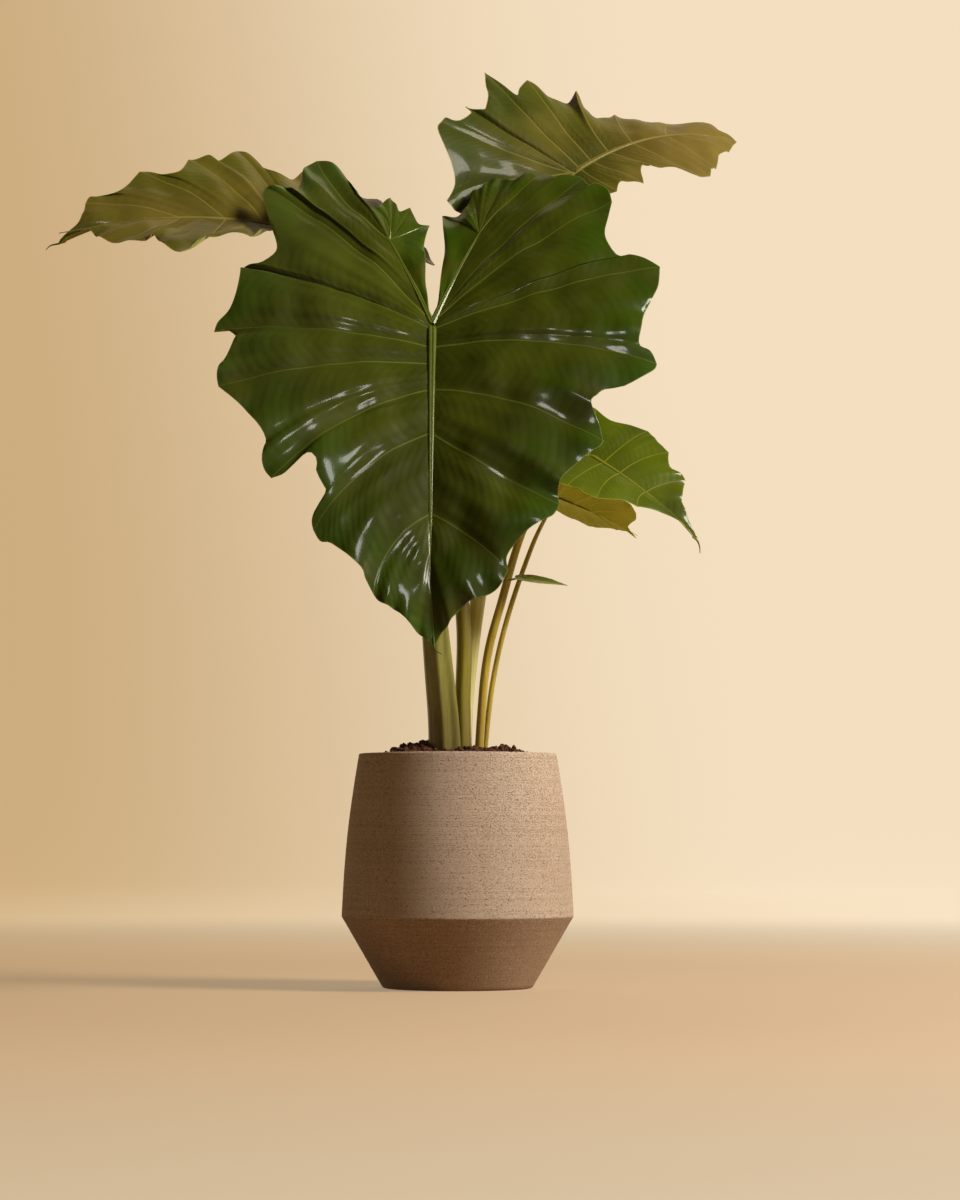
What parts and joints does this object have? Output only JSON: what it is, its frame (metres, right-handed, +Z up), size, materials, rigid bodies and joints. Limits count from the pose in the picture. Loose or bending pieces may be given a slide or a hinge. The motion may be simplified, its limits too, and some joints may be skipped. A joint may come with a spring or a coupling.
{
  "type": "potted plant",
  "caption": "Tall potted alocasia: large wavy-edged arrow-shaped leaves on long stalks, standing in a soil-filled stoneware pot with a tapered foot.",
  "frame": {"origin": "middle of the pot's foot, on the surface it stands on", "axes": "+Z up along the pot's axis; the largest leaf hangs toward -Y, and +X is to the right seen from the front"},
  "size_m": [0.8486, 0.571, 1.1595],
  "materials": {
    "stoneware": "matte, unglazed, fine dark specks",
    "soil": "loose and crumbly",
    "dark_stalk": "smooth, slightly ridged",
    "pale_stalk": "smooth, slightly ridged",
    "front_blade": "glossy, pale veins",
    "left_blade": "satin, pale veins",
    "top_blade": "satin, pale veins",
    "right_blade": "satin, pale veins",
    "low_blade": "matte underside, pale veins",
    "young_blade": "satin"
  },
  "bodies": {
    "root": {"pot": "stoneware", "soil": "soil", "petiole_front": "dark_stalk", "blade_front": "front_blade", "petiole_left": "pale_stalk", "blade_left": "left_blade", "petiole_top": "pale_stalk", "blade_top": "top_blade", "petiole_right": "pale_stalk", "blade_right": "right_blade", "petiole_low": "pale_stalk", "blade_low": "low_blade", "young_leaf": "young_blade"}
  },
  "joints": []
}
